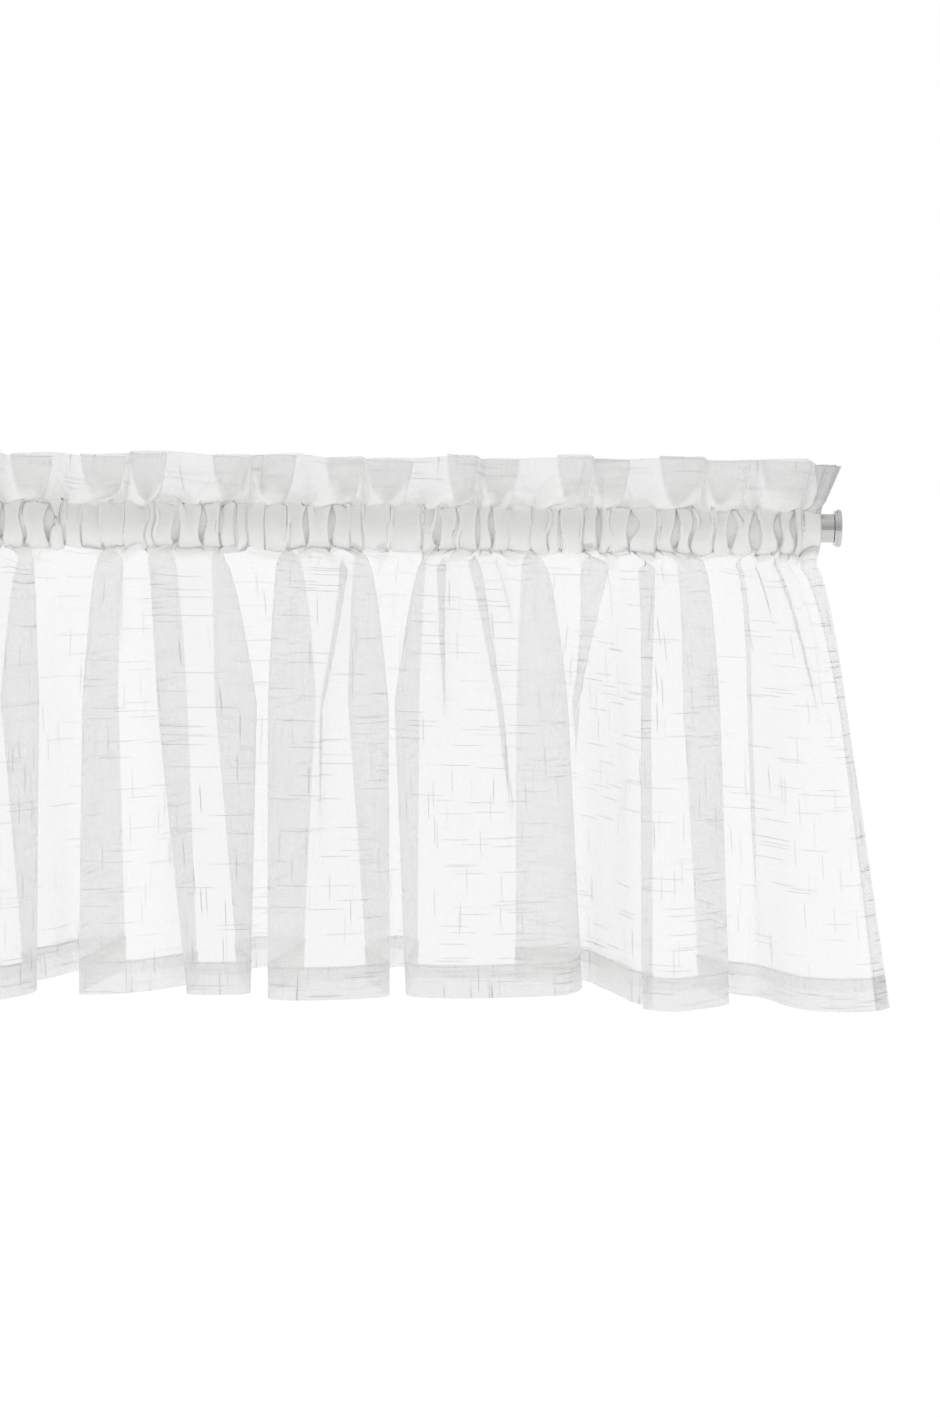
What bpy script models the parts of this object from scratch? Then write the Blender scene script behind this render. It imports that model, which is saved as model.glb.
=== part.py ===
# A window valance gathered on a plain round rod.
# Metres, +Z up. The origin is on the rod's axis at mid-length, and the front faces -Y.
# The tables are in millimetres, with one row for each fold or turn of the cloth.

import math

import bmesh
import bpy

for thing in list(bpy.data.objects):
    bpy.data.objects.remove(thing, do_unlink=True)

MM = 0.001

# Rod and end caps
ROD_RADIUS = 0.0125
ROD_REACH = 0.5235
CAP_INNER_FACE = 0.524
CAP_OUTER_FACE = 0.530
CAP_RADIUS = 0.0165
CAP_STEP = 0.0012
CAP_BEVEL = 0.0010
ROUND_SIDES = 48

# Cloth
CLOTH = 0.0015
HEM_CLOTH = 0.0024
HEADING_CLOTH = 0.0018
HEM_BOTTOM = -0.4155
HEM_TOP = -0.3850
HEM_STEP = 0.0015
LOWER_SEAM = -0.0205
LOWER_SEAM_INSIDE = -0.0180
UPPER_SEAM = 0.0190
UPPER_SEAM_INSIDE = 0.0165
POCKET_DEPTH = 0.0190
POCKET_RELIEF = 0.0027
POCKET_ROWS = (-0.0110, 0.0, 0.0110)
NECK = -0.0380
MIDDLE = -0.1570
BODY_ROWS = (-0.2900, -0.2000, -0.1250, -0.0700, NECK, -0.0290)
HEADING_ROWS = (0.2, 0.55, 1.0)
SEAM_GATHER = 0.60
WIDEST_GAP = 42.0
LEAST_GAP = 5.5
DEEPEST_CREASE = 0.6

# Where the cloth lies along the rod at the seams: cloth position, place on the rod
SEWN = (
    (0, -512), (318, -384), (765, -204), (875, -142), (1079, -84), (1194, -39),
    (1315, 21), (1507, 80), (1663, 137), (1874, 213), (2110, 303), (2237, 376),
    (2313, 404), (2433, 446), (2541, 512),
)

# Body folds: cloth position, x and y at the neck, x half way down, x and y at the hem
FOLDS = (
    (0, -512, -8, -537, -578, -50),
    (18, -500, -12, -529, -566, -63),
    (60, -480, -13, -500, -525, -72),
    (105, -456, -13, -466, -480, -68),
    (140, -436, -12, -440, -446, -58),
    (162, -424, -8, -426, -430, -42),
    (208, -433, 2, -440, -450, 0),
    (235, -434, 9, -441, -448, 26),
    (280, -404, 13, -406, -410, 50),
    (318, -374, 10, -373, -374, 42),
    (355, -372, 1, -371, -372, 6),
    (395, -374, -9, -380, -384, -32),
    (420, -362, -13, -367, -370, -53),
    (470, -324, -14, -322, -322, -64),
    (510, -292, -12, -287, -284, -56),
    (530, -282, -9, -275, -272, -41),
    (572, -290, 1, -287, -286, -2),
    (596, -292, 8, -289, -284, 22),
    (632, -266, 13, -262, -258, 46),
    (660, -240, 8, -238, -236, 34),
    (710, -222, -4, -220, -219, -14),
    (765, -200, -12, -200, -200, -61),
    (800, -180, -9, -168, -176, -30),
    (825, -187, -2, -186, -170, -9),
    (857, -160, 4, -170, -159, 20),
    (882, -135, 9, -146, -143, 41),
    (926, -97, 10, -104, -101, 55),
    (975, -107, 0, -116, -117, 8),
    (1024, -118, -10, -129, -133, -38),
    (1064, -92, -9, -93, -93, -36),
    (1100, -68, 0, -62, -60, -20),
    (1134, -57, 10, -43, -33, 0),
    (1168, -65, -13, -61, -35, -34),
    (1194, -39, -15, -21, -9, -37),
    (1221, -3, -12, 23, 18, -28),
    (1251, -11, -5, 4, 11, 2),
    (1281, -18, 3, -17, 3, 30),
    (1312, 18, 11, 24, 19, 58),
    (1350, 61, 12, 72, 60, 50),
    (1400, 50, 2, 53, 47, 2),
    (1450, 39, -10, 33, 34, -45),
    (1501, 80, -14, 84, 84, -51),
    (1564, 122, -10, 138, 145, -34),
    (1594, 113, -4, 121, 134, -7),
    (1623, 106, 2, 101, 120, 20),
    (1679, 148, 12, 140, 145, 70),
    (1703, 169, 8, 164, 158, 50),
    (1743, 166, 0, 154, 153, 10),
    (1784, 163, -9, 143, 148, -30),
    (1822, 182, -13, 178, 185, -41),
    (1889, 222, -13, 238, 251, -35),
    (1937, 250, -9, 280, 298, -23),
    (1965, 263, -4, 294, 312, 2),
    (2030, 253, 7, 250, 253, 30),
    (2090, 306, 5, 303, 313, 27),
    (2126, 326, -3, 328, 332, -4),
    (2190, 354, -10, 355, 363, -60),
    (2216, 370, -13, 376, 382, -77),
    (2244, 388, -13, 400, 409, -69),
    (2284, 414, -9, 427, 440, -45),
    (2343, 389, 4, 397, 417, 10),
    (2378, 410, 8, 424, 444, -13),
    (2405, 430, 5, 446, 469, -25),
    (2452, 460, -7, 480, 498, -61),
    (2486, 480, -12, 508, 530, -73),
    (2523, 498, -11, 530, 567, -68),
    (2541, 512, -8, 537, 580, -56),
)

# How far a fold has opened on its way down: height, share of the way from neck to hem
OPENING = (
    (HEM_BOTTOM, 1.00), (HEM_TOP, 0.97), (-0.3000, 0.87), (-0.2200, 0.72),
    (MIDDLE, 0.57), (-0.0950, 0.36), (-0.0600, 0.17), (NECK, 0.0),
)

# Frills of the heading, each a flat loop: left, right and height at its top edge
FRILLS = (
    (-520, -486, 57),
    (-474, -440, 60),
    (-428, -396, 56),
    (-388, -350, 59),
    (-334, -300, 61),
    (-290, -252, 56),
    (-240, -207, 58),
    (-191, -156, 57),
    (-130, -92, 57),
    (-87, -57, 60),
    (-15, 15, 58),
    (20, 55, 59),
    (84, 112, 57),
    (119, 156, 56),
    (189, 213, 60),
    (219, 248, 57),
    (285, 313, 61),
    (316, 344, 58),
    (374, 410, 61),
    (413, 449, 58),
    (460, 502, 59),
    (508, 527, 55),
)
FRILL_DEPTHS = (-9.5, -7.5, 4.0, 9.5)
FRILL_INSET = (0.0, 0.0, 3.5, -3.0)
FRILL_SEAM = (0.0, 0.42, 0.58, 1.0)
FRILL_SHARE = 0.86


def ramp(rows, value, column=1):
    """Straight-line reading of a table sorted by its first column."""
    if value <= rows[0][0]:
        return rows[0][column]
    for low, high in zip(rows, rows[1:]):
        if value <= high[0]:
            share = (value - low[0]) / (high[0] - low[0])
            return low[column] + share * (high[column] - low[column])
    return rows[-1][column]


def smooth(rows, value, column, rounded=False):
    """Curve through a table column. It turns flat at each turn, or round if rounded."""
    last = len(rows) - 1
    index = 0
    while index < last - 1 and value > rows[index + 1][0]:
        index += 1

    def rise(i):
        return (rows[i + 1][column] - rows[i][column]) / (rows[i + 1][0] - rows[i][0])

    def slope(i):
        if i == 0:
            return rise(0)
        if i == last:
            return rise(last - 1)
        before, after = rise(i - 1), rise(i)
        if rounded:
            return (rows[i + 1][column] - rows[i - 1][column]) / (rows[i + 1][0] - rows[i - 1][0])
        if before * after <= 0:
            return 0.0
        return 2 * before * after / (before + after)

    low, high = rows[index], rows[index + 1]
    width = high[0] - low[0]
    t = min(max((value - low[0]) / width, 0.0), 1.0)
    start, end = slope(index) * width, slope(index + 1) * width
    return (
        (2 * t**3 - 3 * t**2 + 1) * low[column]
        + (t**3 - 2 * t**2 + t) * start
        + (3 * t**2 - 2 * t**3) * high[column]
        + (t**3 - t**2) * end
    )


def sewn_position(place):
    """Cloth position that is sewn at a place on the rod."""
    return ramp([(row[1], row[0]) for row in SEWN], place)


def frill_points():
    """Turns of the heading: cloth position, x, y and height at its top, x at its seam."""
    centres = [(left + right) / 2 for left, right, _ in FRILLS]
    limits = [sewn_position((a + b) / 2) for a, b in zip(centres, centres[1:])]
    limits = [SEWN[0][0]] + limits + [SEWN[-1][0]]
    points = []
    for number, (left, right, height) in enumerate(FRILLS):
        start, end = limits[number], limits[number + 1]
        spare = (end - start) * (1 - FRILL_SHARE) / 2
        first = start if number == 0 else start + spare
        final = end if number == len(FRILLS) - 1 else end - spare
        sides = (left, right, left, right)
        for turn in range(4):
            where = first + (final - first) * turn / 3
            x = sides[turn] + FRILL_INSET[turn]
            sewn = ramp(SEWN, first + (final - first) * FRILL_SEAM[turn])
            points.append((where, x, FRILL_DEPTHS[turn], height, sewn))
    return points


HEADING = frill_points()


def column_positions():
    """Cloth positions of the mesh columns: every turn, without crowding."""
    kept = [row[0] for row in HEADING]
    for row in FOLDS:
        if all(abs(row[0] - other) >= LEAST_GAP for other in kept):
            kept.append(row[0])
    kept.sort()
    full = [kept[0]]
    for position in kept[1:]:
        steps = math.ceil((position - full[-1]) / WIDEST_GAP)
        start = full[-1]
        for step in range(1, steps + 1):
            full.append(start + (position - start) * step / steps)
    return full


COLUMNS = column_positions()


def body_place(position, height):
    """Middle of the cloth's thickness in the body at a height."""
    neck_x = smooth(FOLDS, position, 1)
    neck_y = smooth(FOLDS, position, 2, True)
    if height > NECK:
        share = (height - NECK) / (LOWER_SEAM - NECK)
        gathered = ramp(SEWN, position)
        x = neck_x + share * SEAM_GATHER * (gathered - neck_x)
        return x * MM, neck_y * (1 - 0.45 * share) * MM
    middle_x = smooth(FOLDS, position, 3)
    hem_x = smooth(FOLDS, position, 4)
    hem_y = smooth(FOLDS, position, 5, True)
    if height > MIDDLE:
        fall = (NECK - height) / (NECK - MIDDLE)
        x = neck_x + (middle_x - neck_x) * fall**0.8
    else:
        fall = (MIDDLE - height) / (MIDDLE - HEM_BOTTOM)
        x = middle_x + (hem_x - middle_x) * fall
    y = neck_y + (hem_y - neck_y) * ramp(OPENING, height)
    return x * MM, y * MM


def heading_place(position, share):
    """Middle of the cloth's thickness in the heading, from seam to top edge."""
    x = ramp(HEADING, position, 1)
    y = ramp(HEADING, position, 2)
    height = ramp(HEADING, position, 3) * MM
    gathered = ramp(HEADING, position, 4)
    spread = share**0.7
    place = (gathered + (x - gathered) * spread) * MM
    depth = y * (0.6 + 0.4 * spread) * MM
    return place, depth, UPPER_SEAM + (height - UPPER_SEAM) * share


def pocket_depth(position, height):
    """Distance of the pocket's outside from the rod axis plane, front and back."""
    share = (height - LOWER_SEAM) / (UPPER_SEAM - LOWER_SEAM)
    above = ramp(HEADING, position, 2) / 9.5
    below = smooth(FOLDS, position, 2, True) / 14.0
    lean = above * share + below * (1 - share)
    front = POCKET_DEPTH - POCKET_RELIEF * lean
    back = POCKET_DEPTH + POCKET_RELIEF * lean
    return -front, back


def spread_row(line, offset, heights):
    """Points set off to one side of a row's middle line, square to it."""
    row = []
    last = len(line) - 1
    for index, (x, y) in enumerate(line):
        before = line[max(index - 1, 0)]
        after = line[min(index + 1, last)]
        directions = []
        shortest = WIDEST_GAP
        for start, end in ((before, (x, y)), ((x, y), after)):
            dx, dy = end[0] - start[0], end[1] - start[1]
            length = math.hypot(dx, dy)
            if length > 0:
                directions.append((dx / length, dy / length))
                shortest = min(shortest, length)
        tx = sum(d[0] for d in directions)
        ty = sum(d[1] for d in directions)
        length = math.hypot(tx, ty)
        tx, ty = tx / length, ty / length
        turn = tx * directions[0][0] + ty * directions[0][1]
        cross = directions[0][0] * directions[-1][1] - directions[0][1] * directions[-1][0]
        if offset * cross > 0:
            reach = min(abs(offset) / max(turn, 0.01), DEEPEST_CREASE * shortest)
        else:
            reach = abs(offset) / max(turn, 0.75)
        reach = math.copysign(reach, offset)
        row.append((x - ty * reach, y + tx * reach, heights[index]))
    return row


def body_row(height, offset):
    line = [body_place(position, height) for position in COLUMNS]
    return spread_row(line, offset, [height] * len(line))


def heading_row(share, offset):
    places = [heading_place(position, share) for position in COLUMNS]
    return spread_row([p[:2] for p in places], offset, [p[2] for p in places])


def pocket_row(height, side, inset):
    """One row of the pocket's front (side 0) or back (side 1) wall."""
    row = []
    for position in COLUMNS:
        depth = pocket_depth(position, height)[side]
        y = depth + (inset if side == 0 else -inset)
        row.append((ramp(SEWN, position) * MM, y, height))
    return row


def at_height(row, height):
    return [(x, y, height) for x, y, _ in row]


def cloth_rows():
    """Rows from hem to top on the front and the back, and inside the pocket."""
    half = CLOTH / 2
    heading_half = HEADING_CLOTH / 2
    front = [body_row(HEM_BOTTOM, -half), body_row(HEM_TOP, -half)]
    back = [
        body_row(HEM_BOTTOM, HEM_CLOTH - half),
        body_row(HEM_TOP, HEM_CLOTH - half),
        body_row(HEM_TOP + HEM_STEP, half),
    ]
    for height in BODY_ROWS:
        front.append(body_row(height, -half))
        back.append(body_row(height, half))
    low_front = body_row(LOWER_SEAM, -half)
    low_back = body_row(LOWER_SEAM, half)
    high_front = heading_row(0.0, -heading_half)
    high_back = heading_row(0.0, heading_half)
    low_inside = at_height(body_row(LOWER_SEAM, 0.0), LOWER_SEAM_INSIDE)
    high_inside = at_height(heading_row(0.0, 0.0), UPPER_SEAM_INSIDE)
    front_outside = [pocket_row(h, 0, 0.0) for h in POCKET_ROWS]
    back_outside = [pocket_row(h, 1, 0.0) for h in POCKET_ROWS]
    front_inside = [pocket_row(h, 0, CLOTH) for h in POCKET_ROWS]
    back_inside = [pocket_row(h, 1, CLOTH) for h in POCKET_ROWS]
    front_top = [heading_row(share, -heading_half) for share in HEADING_ROWS]
    back_top = [heading_row(share, heading_half) for share in HEADING_ROWS]
    outside = front + [low_front] + front_outside + [high_front] + front_top
    outside += back_top[::-1] + [high_back] + back_outside[::-1] + [low_back]
    outside += back[::-1]
    inside = [low_inside] + front_inside + [high_inside] + back_inside[::-1]
    return outside, inside


def end_faces(outside, inside):
    """Faces that close one end of the cloth, as lists of vertices."""
    front_count = 2 + len(BODY_ROWS)
    walls = len(POCKET_ROWS)
    low_front = front_count
    high_front = low_front + walls + 1
    top_front = high_front + len(HEADING_ROWS)
    top_back = top_front + 1
    high_back = top_back + len(HEADING_ROWS)
    low_back = high_back + walls + 1
    faces = [(outside[0], outside[1], outside[-2], outside[-1])]
    faces.append((outside[1], outside[-3], outside[-2]))
    for step in range(len(BODY_ROWS) + 1):
        a, b = 1 + step, len(outside) - 3 - step
        faces.append((outside[a], outside[a + 1], outside[b - 1], outside[b]))
    for step in range(len(HEADING_ROWS)):
        a, b = high_front + step, high_back - step
        faces.append((outside[a], outside[a + 1], outside[b - 1], outside[b]))
    for step in range(walls + 1):
        a, b = low_front + step, (low_back - step)
        c, d = step, (len(inside) - step) % len(inside)
        faces.append((outside[a], outside[a + 1], inside[c + 1], inside[c]))
        below = (len(inside) - step - 1) % len(inside)
        faces.append((outside[b], outside[b - 1], inside[below], inside[d]))
    faces.append((outside[low_front], inside[0], outside[low_back]))
    faces.append((outside[high_front], outside[high_back], inside[walls + 1]))
    return faces


def add_object(name, mesh_builder, colour, roughness, metallic):
    mesh = bpy.data.meshes.new(name)
    work = bmesh.new()
    mesh_builder(work)
    bmesh.ops.triangulate(work, faces=work.faces[:])
    bmesh.ops.recalc_face_normals(work, faces=work.faces[:])
    work.to_mesh(mesh)
    work.free()
    body = bpy.data.objects.new(name, mesh)
    bpy.context.scene.collection.objects.link(body)
    material = bpy.data.materials.new(name)
    material.use_nodes = True
    shader = material.node_tree.nodes["Principled BSDF"]
    shader.inputs["Base Color"].default_value = (*colour, 1.0)
    shader.inputs["Roughness"].default_value = roughness
    shader.inputs["Metallic"].default_value = metallic
    mesh.materials.append(material)
    return body


def build_cloth(work):
    outside, inside = cloth_rows()
    count = len(COLUMNS)
    rings = []
    for rows in (outside, inside):
        rings.append([[work.verts.new(point) for point in row] for row in rows])
    for ring in rings:
        for number, row in enumerate(ring):
            following = ring[(number + 1) % len(ring)]
            rising = number < len(ring) // 2
            for column in range(count - 1):
                a, b = row[column], row[column + 1]
                c, d = following[column + 1], following[column]
                if rising:
                    work.faces.new((a, b, c))
                    work.faces.new((a, c, d))
                else:
                    work.faces.new((a, b, d))
                    work.faces.new((b, c, d))
    for column in (0, count - 1):
        ends = [[row[column] for row in ring] for ring in rings]
        for corners in end_faces(*ends):
            work.faces.new(corners)


def turned(work, profile):
    """Solid of revolution about X from (x, radius) pairs, closed by flat discs."""
    rings = []
    for x, radius in profile:
        ring = []
        for side in range(ROUND_SIDES):
            angle = 2 * math.pi * side / ROUND_SIDES
            point = (x, radius * math.cos(angle), radius * math.sin(angle))
            ring.append(work.verts.new(point))
        rings.append(ring)
    for low, high in zip(rings, rings[1:]):
        for side in range(ROUND_SIDES):
            after = (side + 1) % ROUND_SIDES
            work.faces.new((low[side], low[after], high[after], high[side]))
    work.faces.new(rings[0])
    work.faces.new(rings[-1])


def build_rod(work):
    turned(work, ((-ROD_REACH, ROD_RADIUS), (ROD_REACH, ROD_RADIUS)))


def build_cap(direction):
    rim = CAP_INNER_FACE + 2 * CAP_STEP
    profile = (
        (CAP_INNER_FACE, CAP_RADIUS - CAP_STEP),
        (rim, CAP_RADIUS - CAP_STEP),
        (rim, CAP_RADIUS),
        (CAP_OUTER_FACE - CAP_BEVEL, CAP_RADIUS),
        (CAP_OUTER_FACE, CAP_RADIUS - CAP_BEVEL),
    )

    def build(work):
        turned(work, [(direction * x, radius) for x, radius in profile])

    return build


add_object("valance", build_cloth, (0.90, 0.90, 0.89), 0.9, 0.0)
add_object("rod", build_rod, (0.62, 0.62, 0.61), 0.35, 1.0)
add_object("rod_cap_left", build_cap(-1), (0.62, 0.62, 0.61), 0.35, 1.0)
add_object("rod_cap_right", build_cap(1), (0.62, 0.62, 0.61), 0.35, 1.0)
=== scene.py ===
import math

import bpy
import numpy as np
from mathutils import Matrix, Vector


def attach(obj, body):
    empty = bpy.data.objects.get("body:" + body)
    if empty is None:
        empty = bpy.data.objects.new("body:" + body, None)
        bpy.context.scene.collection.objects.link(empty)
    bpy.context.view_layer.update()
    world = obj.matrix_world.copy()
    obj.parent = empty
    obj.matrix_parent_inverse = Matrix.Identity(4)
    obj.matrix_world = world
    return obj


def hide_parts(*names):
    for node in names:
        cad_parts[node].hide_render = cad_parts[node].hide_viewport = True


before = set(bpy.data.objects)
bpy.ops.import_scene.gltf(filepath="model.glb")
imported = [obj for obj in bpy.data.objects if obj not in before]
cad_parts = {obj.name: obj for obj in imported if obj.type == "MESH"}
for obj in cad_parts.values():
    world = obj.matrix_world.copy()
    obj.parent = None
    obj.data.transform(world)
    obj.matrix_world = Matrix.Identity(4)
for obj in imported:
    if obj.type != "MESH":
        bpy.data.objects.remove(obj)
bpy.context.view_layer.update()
print("frame loaded")

mm = 0.001


# Helpers for the tables. A table's first column is the cloth position in mm from its left side edge.

def readStraight(rows, at, column=1):
    table = np.array(rows, float)
    return np.interp(at, table[:, 0], table[:, column])


def readCurve(rows, at, column, rounded=False):
    # Hermite curve: flat at each turn, or round through it
    table = np.array(rows, float)
    s, v = table[:, 0], table[:, column]
    rise = np.diff(v) / np.diff(s)
    slope = np.empty(len(s))
    slope[0], slope[-1] = rise[0], rise[-1]
    before, after = rise[:-1], rise[1:]
    if rounded:
        slope[1:-1] = (v[2:] - v[:-2]) / (s[2:] - s[:-2])
    else:
        both = before + after
        both[np.abs(both) < 1e-9] = 1e-9
        slope[1:-1] = np.where(before * after > 0, 2 * before * after / both, 0.0)
    i = np.clip(np.searchsorted(s, at, side="right") - 1, 0, len(s) - 2)
    width = s[i + 1] - s[i]
    t = np.clip((at - s[i]) / width, 0, 1)
    return (
        (2 * t**3 - 3 * t**2 + 1) * v[i]
        + (t**3 - 2 * t**2 + t) * slope[i] * width
        + (3 * t**2 - 2 * t**3) * v[i + 1]
        + (t**3 - t**2) * slope[i + 1] * width
    )


def softStep(low, high, value):
    t = np.clip((value - low) / (high - low), 0, 1)
    return t * t * (3 - 2 * t)


# the camera, at the photo's angle
cameraValues = {
    "place": (0.209, -3.0, 0.38),
    "pitchDown": 10.26,
    "roll": -0.65,
    "lens": 88.08,
}


def makeCamera():
    data = bpy.data.cameras.new("camera")
    data.lens = cameraValues["lens"]
    data.sensor_width = 36
    data.clip_end = 60
    camera = bpy.data.objects.new("camera", data)
    bpy.context.scene.collection.objects.link(camera)
    tilt = Matrix.Rotation(math.radians(90 - cameraValues["pitchDown"]), 4, "X")
    roll = Matrix.Rotation(math.radians(-cameraValues["roll"]), 4, "Z")
    camera.matrix_world = Matrix.Translation(cameraValues["place"]) @ tilt @ roll
    bpy.context.scene.camera = camera


makeCamera()
print("camera placed")

# the studio
studioValues = {
    "floorHeight": -1.35,
    "floorRadius": 12.0,
    "skyLight": 0.75,
    "frontDark": 0.70,
    "floorGlow": 0.35,
    # name, place, size and power of each lamp
    "lamps": (
        ("sideLampLeft", (-2.6, -1.1, 0.6), (1.6, 2.0), 2.0),
        ("sideLampRight", (2.8, -1.1, 0.6), (1.6, 2.0), 2.0),
        ("topLamp", (0.2, -0.4, 2.4), (3.0, 1.6), 2.0),
    ),
    "aim": (0, 0, -0.2),
}


def makeWorld():
    world = bpy.data.worlds.new("studio")
    bpy.context.scene.world = world
    world.use_nodes = True
    nodes, links = world.node_tree.nodes, world.node_tree.links
    nodes.clear()
    out = nodes.new("ShaderNodeOutputWorld")
    mix = nodes.new("ShaderNodeMixShader")
    path = nodes.new("ShaderNodeLightPath")
    seen = nodes.new("ShaderNodeBackground")
    seen.inputs["Color"].default_value = (1, 1, 1, 1)
    lit = nodes.new("ShaderNodeBackground")
    lit.inputs["Strength"].default_value = studioValues["skyLight"]
    # the room behind the camera is darker than the white sides, top and back
    spot = nodes.new("ShaderNodeTexCoord")
    split = nodes.new("ShaderNodeSeparateXYZ")
    ramp = nodes.new("ShaderNodeMapRange")
    ramp.interpolation_type = "SMOOTHSTEP"
    ramp.inputs["From Min"].default_value = -0.97
    ramp.inputs["From Max"].default_value = -0.70
    ramp.inputs["To Min"].default_value = studioValues["frontDark"]
    ramp.inputs["To Max"].default_value = 1.0
    links.new(spot.outputs["Generated"], split.inputs[0])
    links.new(split.outputs["Y"], ramp.inputs["Value"])
    links.new(ramp.outputs[0], lit.inputs["Color"])
    links.new(path.outputs["Is Camera Ray"], mix.inputs[0])
    links.new(lit.outputs[0], mix.inputs[1])
    links.new(seen.outputs[0], mix.inputs[2])
    links.new(mix.outputs[0], out.inputs[0])


def makeLamp(name, place, size, power):
    data = bpy.data.lights.new(name, "AREA")
    data.shape = "RECTANGLE"
    data.size, data.size_y = size
    data.energy = power
    lamp = bpy.data.objects.new(name, data)
    lamp.location = place
    aim = Vector(studioValues["aim"]) - Vector(place)
    lamp.rotation_euler = aim.to_track_quat("-Z", "Y").to_euler()
    lamp.visible_camera = False
    bpy.context.scene.collection.objects.link(lamp)


def makeFloor():
    mesh = bpy.data.meshes.new("floor")
    radius, count = studioValues["floorRadius"], 96
    ring = [(radius * math.cos(2 * math.pi * i / count),
             radius * math.sin(2 * math.pi * i / count),
             studioValues["floorHeight"]) for i in range(count)]
    mesh.from_pydata(ring, [], [tuple(range(count))])
    floor = bpy.data.objects.new("floor", mesh)
    bpy.context.scene.collection.objects.link(floor)
    paint = bpy.data.materials.new("palePaper")
    paint.use_nodes = True
    nodes, links = paint.node_tree.nodes, paint.node_tree.links
    shader = nodes["Principled BSDF"]
    shader.inputs["Base Color"].default_value = (0.90, 0.90, 0.90, 1)
    shader.inputs["Roughness"].default_value = 1.0
    shader.inputs["Specular IOR Level"].default_value = 0.0
    shader.inputs["Emission Color"].default_value = (1, 1, 1, 1)
    shader.inputs["Emission Strength"].default_value = studioValues["floorGlow"]
    grain = nodes.new("ShaderNodeTexNoise")
    grain.inputs["Scale"].default_value = 60
    bump = nodes.new("ShaderNodeBump")
    bump.inputs["Strength"].default_value = 0.02
    links.new(grain.outputs["Fac"], bump.inputs["Height"])
    links.new(bump.outputs[0], shader.inputs["Normal"])
    mesh.materials.append(paint)


makeWorld()
for lampRow in studioValues["lamps"]:
    makeLamp(*lampRow)
makeFloor()
bpy.context.scene.view_settings.view_transform = "Standard"
cycles = bpy.context.scene.cycles
cycles.transparent_max_bounces = 160  # the heading has many sheer layers one behind the other
cycles.max_bounces = 16
cycles.diffuse_bounces = 8
cycles.transmission_bounces = 12
print("studio ready")

# The cloth's shape. Heights and the first lengths are in metres, the rest in mm.
clothValues = {
    "hemBottom": -0.4155,
    "lowerSeam": -0.0200,
    "neck": -0.0340,
    "middle": -0.1570,
    "upperSeam": 0.0155,
    "tailEnd": -0.0245,
    "rodRadius": 0.0125,
    "layerGap": 0.0005,
    "width": 2541.0,
    "sideHem": 18.0,
    "columnStep": 2.7,
    "pocketPuff": 3.6,
    "pocketEase": 1.0,
    "seamTuck": 2.0,
    "seamForward": 4.5,
    "seamScallop": 8.0,
    "seamWander": 2.6,
    "seamDrop": 1.2,
    "seamReach": 4.5,
    "scallopReach": 16.0,
    "neckPucker": 5.0,
    "neckReach": 48.0,
    "neckDraw": 0.10,
    "shoulderCurve": 0.66,
    "headPucker": 7.5,
    "frillTaper": 1.6,
}

# rows of the cloth's mesh, from the raw edge to the pocket's tail: heights in metres, and
# for the pocket and the heading the share of the way up
clothRows = {
    "rawEdge": (-0.3978, -0.3940, -0.3900, -0.3866),
    "turnedUp": (-0.3858, -0.3866, -0.3950, -0.4050, -0.4145),
    "hem": (-0.4146, -0.4070, -0.3990, -0.3920, -0.3868, -0.3850),
    "face": tuple(np.linspace(-0.3760, -0.0760, 31)),
    "neck": (-0.0680, -0.0610, -0.0545, -0.0485, -0.0430, -0.0380, -0.0340, -0.0305, -0.0275,
             -0.0250, -0.0228),
    "pocket": (0.0, 0.06, 0.14, 0.24, 0.36, 0.5, 0.64, 0.76, 0.86, 0.94, 1.0),
    "heading": (0.05, 0.12, 0.22, 0.34, 0.48, 0.62, 0.78, 0.9, 0.97),
}

# where each stretch begins on the flat cloth, in metres; the raw edge and the turned-up
# stretch are counted against their heights
flatPlaces = {
    "rawEdge": -0.430,
    "turnedUp": -0.387,
    "hemFold": 0.029,
    "face": 0.030,
    "pocket": 0.425,
    "heading": 0.468,
    "headingTop": 0.5095,
    "headingBack": 0.510,
    "pocketBack": 0.551,
    "tail": 0.594,
    "tailEnd": 0.598,
    "pocketWall": 0.043,
    "headingWall": 0.041,
}

# where the cloth lies along the rod at the seams
sewn = (
    (0, -512), (20, -497), (318, -384), (765, -204), (875, -142), (1079, -84), (1194, -39),
    (1315, 21), (1507, 80), (1663, 137), (1874, 213), (2110, 303), (2237, 376),
    (2313, 404), (2433, 446), (2541, 512),
)

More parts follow.
